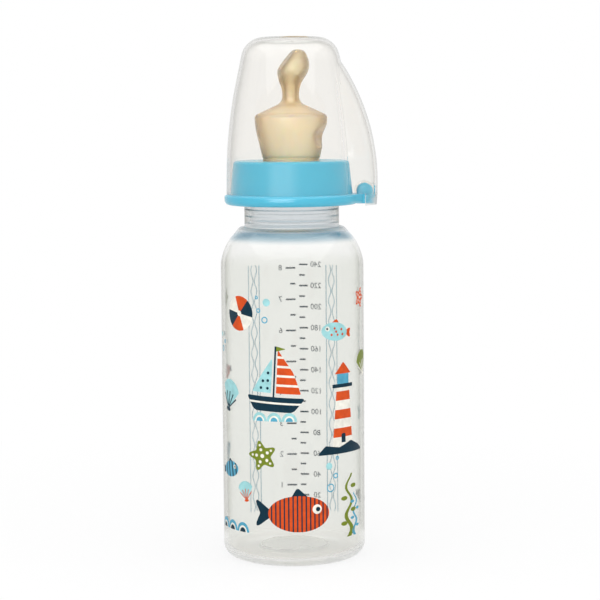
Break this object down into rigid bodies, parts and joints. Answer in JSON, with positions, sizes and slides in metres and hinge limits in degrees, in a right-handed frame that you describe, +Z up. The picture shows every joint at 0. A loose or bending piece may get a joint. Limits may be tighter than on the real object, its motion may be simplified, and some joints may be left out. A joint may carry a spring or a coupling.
{
  "type": "baby bottle",
  "caption": "Narrow-neck see-through feeding bottle with a soft slanted teat, a blue screw ring and a clear cap with a side pod over the ring's lug.",
  "frame": {"origin": "on the bottle's axis, in the plane of the foot that it stands on", "axes": "+Z up along the bottle's axis, +X towards the ring's lug and the cap's pod"},
  "size_m": [0.0624, 0.0566, 0.2057],
  "materials": {
    "bottle_plastic": "smooth, see-through, slightly cloudy",
    "teat_latex": "smooth, translucent amber latex",
    "ring_plastic": "smooth glossy sky blue",
    "cap_plastic": "clear and glossy"
  },
  "bodies": {
    "bottle": {"bottle_body": "bottle_plastic"},
    "teat": {"teat": "teat_latex"},
    "ring": {"screw_ring": "ring_plastic"},
    "cap": {"cap": "cap_plastic"}
  },
  "joints": [
    {"name": "ring_rise", "type": "slide", "parent": "bottle", "child": "teat", "axis": [0, 0, 1], "range_m": [0, 0.0061]},
    {"name": "ring_turn", "type": "hinge", "parent": "teat", "child": "ring", "pos_m": [0, 0, 0.14], "axis": [0, 0, 1], "range_deg": [0, 540]},
    {"name": "cap_lift", "type": "slide", "parent": "ring", "child": "cap", "axis": [0, 0, 1], "range_m": [0, 0.07]}
  ],
  "couplings": [
    {"joint": "ring_rise", "follows": "ring_turn", "m_per_rad": 0.00063662}
  ]
}
